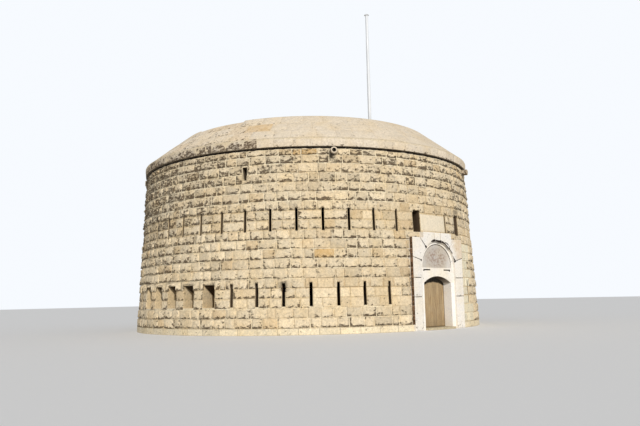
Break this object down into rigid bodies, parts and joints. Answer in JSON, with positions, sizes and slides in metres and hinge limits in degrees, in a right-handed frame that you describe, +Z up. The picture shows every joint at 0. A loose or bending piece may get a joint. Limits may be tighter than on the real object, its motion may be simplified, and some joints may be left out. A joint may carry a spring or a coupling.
{
  "type": "martello tower",
  "caption": "Round stone gun tower with battered walls, rows of loopholes, an arched portal with a plank door that opens, a sloping parapet and a flagpole.",
  "frame": {"origin": "middle of the foot of the wall, on the level that the tower stands on", "axes": "+Z up; the door faces -Y"},
  "size_m": [18.8702, 18.8651, 16.105],
  "materials": {
    "rough_stone": "rock-faced limestone, weathered",
    "smooth_stone": "dressed limestone, weathered",
    "portal_stone": "dressed limestone under worn limewash",
    "inner_stone": "dressed limestone, indoors",
    "paving_stone": "flagstones",
    "door_boards": "weathered boards",
    "door_iron": "forged, rusty",
    "pole_paint": "white gloss, chalked"
  },
  "bodies": {
    "tower": {"cornice_back": "smooth_stone", "cornice_front": "smooth_stone", "cornice_left": "smooth_stone", "cornice_right": "smooth_stone", "door_cheek_left": "portal_stone", "door_cheek_right": "portal_stone", "door_head": "portal_stone", "door_pintles": "door_iron", "flagpole": "pole_paint", "flagpole_foot": "paving_stone", "flagpole_truck": "pole_paint", "ground_floor": "paving_stone", "gun_platform": "paving_stone", "lower_loophole_piers": "rough_stone", "lower_wall_back": "rough_stone", "lower_wall_front_left": "rough_stone", "lower_wall_front_right": "rough_stone", "lower_wall_left": "rough_stone", "lower_wall_right": "rough_stone", "middle_wall_back": "rough_stone", "middle_wall_front_left": "rough_stone", "middle_wall_front_right": "rough_stone", "middle_wall_left": "rough_stone", "middle_wall_right": "rough_stone", "parapet_back": "smooth_stone", "parapet_front": "smooth_stone", "parapet_left": "smooth_stone", "parapet_right": "smooth_stone", "passage_vault": "inner_stone", "passage_wall_left": "inner_stone", "passage_wall_right": "inner_stone", "portal_arch": "portal_stone", "portal_jamb_left": "portal_stone", "portal_jamb_right": "portal_stone", "roof_slab": "paving_stone", "spouts": "smooth_stone", "threshold": "paving_stone", "upper_floor": "paving_stone", "upper_loophole_piers": "rough_stone", "upper_wall_back": "rough_stone", "upper_wall_front": "rough_stone", "upper_wall_left": "rough_stone", "upper_wall_right": "rough_stone"},
    "right_leaf": {"door_leaf_right": "door_boards", "door_straps_right": "door_iron"},
    "left_leaf": {"door_leaf_left": "door_boards", "door_straps_left": "door_iron"}
  },
  "joints": [
    {"name": "right_leaf_hinge", "type": "hinge", "parent": "tower", "child": "right_leaf", "pos_m": [1.06, -8.7, 0.5], "axis": [0, 0, -1], "range_deg": [0, 90]},
    {"name": "left_leaf_hinge", "type": "hinge", "parent": "tower", "child": "left_leaf", "pos_m": [-1.06, -8.7, 0.5], "axis": [0, 0, 1], "range_deg": [0, 90]}
  ]
}
